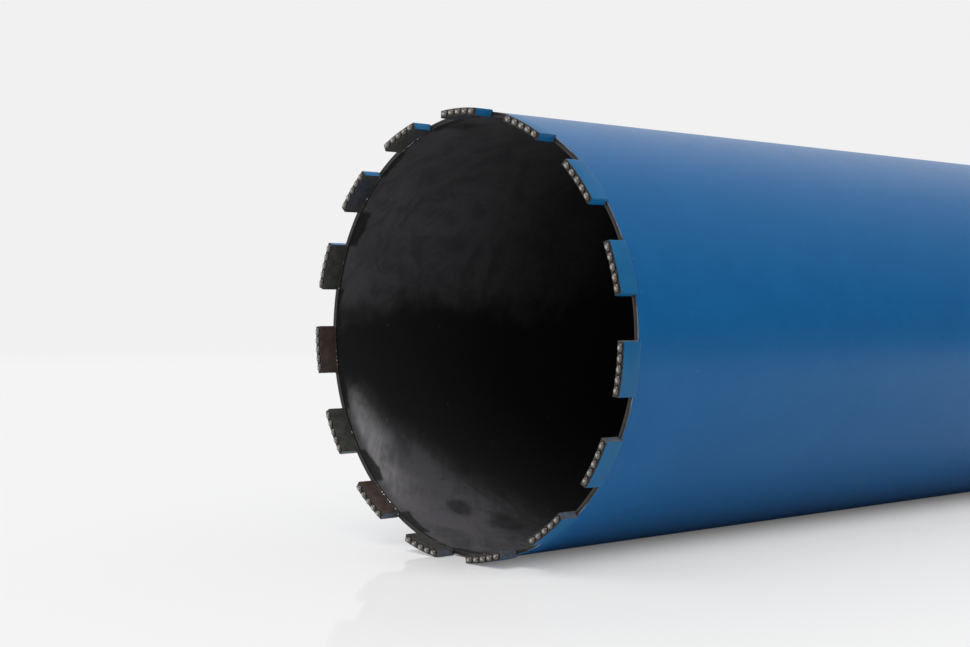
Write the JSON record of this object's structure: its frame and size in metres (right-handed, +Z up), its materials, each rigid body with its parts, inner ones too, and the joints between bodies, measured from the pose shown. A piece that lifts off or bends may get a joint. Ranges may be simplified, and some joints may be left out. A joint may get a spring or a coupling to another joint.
{
  "type": "diamond core bit",
  "caption": "Wet core drill bit: thin steel barrel with diamond segments around its open end and a threaded hub on a welded end plate.",
  "frame": {"origin": "on the bit's axis, where the hub's thread starts, 2 mm inside the hub's end face", "axes": "+Y along the axis from the cutting crown to the hub, +Z up; the bit lies on its side on two neighbouring segments and its back edge"},
  "size_m": [0.212, 0.5005, 0.2115],
  "materials": {
    "barrel_paint": "semi-gloss blue paint outside, dark satin steel inside",
    "plate_paint": "semi-gloss blue paint",
    "segment_metal": "bare sintered metal with bright beads, blue paint on the outer face",
    "hub_steel": "turned steel with a fine lay",
    "weld_metal": "rippled weld bead"
  },
  "bodies": {
    "root": {"barrel": "barrel_paint", "end_plate": "plate_paint", "plate_weld": "plate_paint", "hub": "hub_steel", "hub_weld": "weld_metal", "segment_01": "segment_metal", "segment_02": "segment_metal", "segment_03": "segment_metal", "segment_04": "segment_metal", "segment_05": "segment_metal", "segment_06": "segment_metal", "segment_07": "segment_metal", "segment_08": "segment_metal", "segment_09": "segment_metal", "segment_10": "segment_metal", "segment_11": "segment_metal", "segment_12": "segment_metal", "segment_13": "segment_metal", "segment_14": "segment_metal", "segment_15": "segment_metal"}
  },
  "joints": []
}
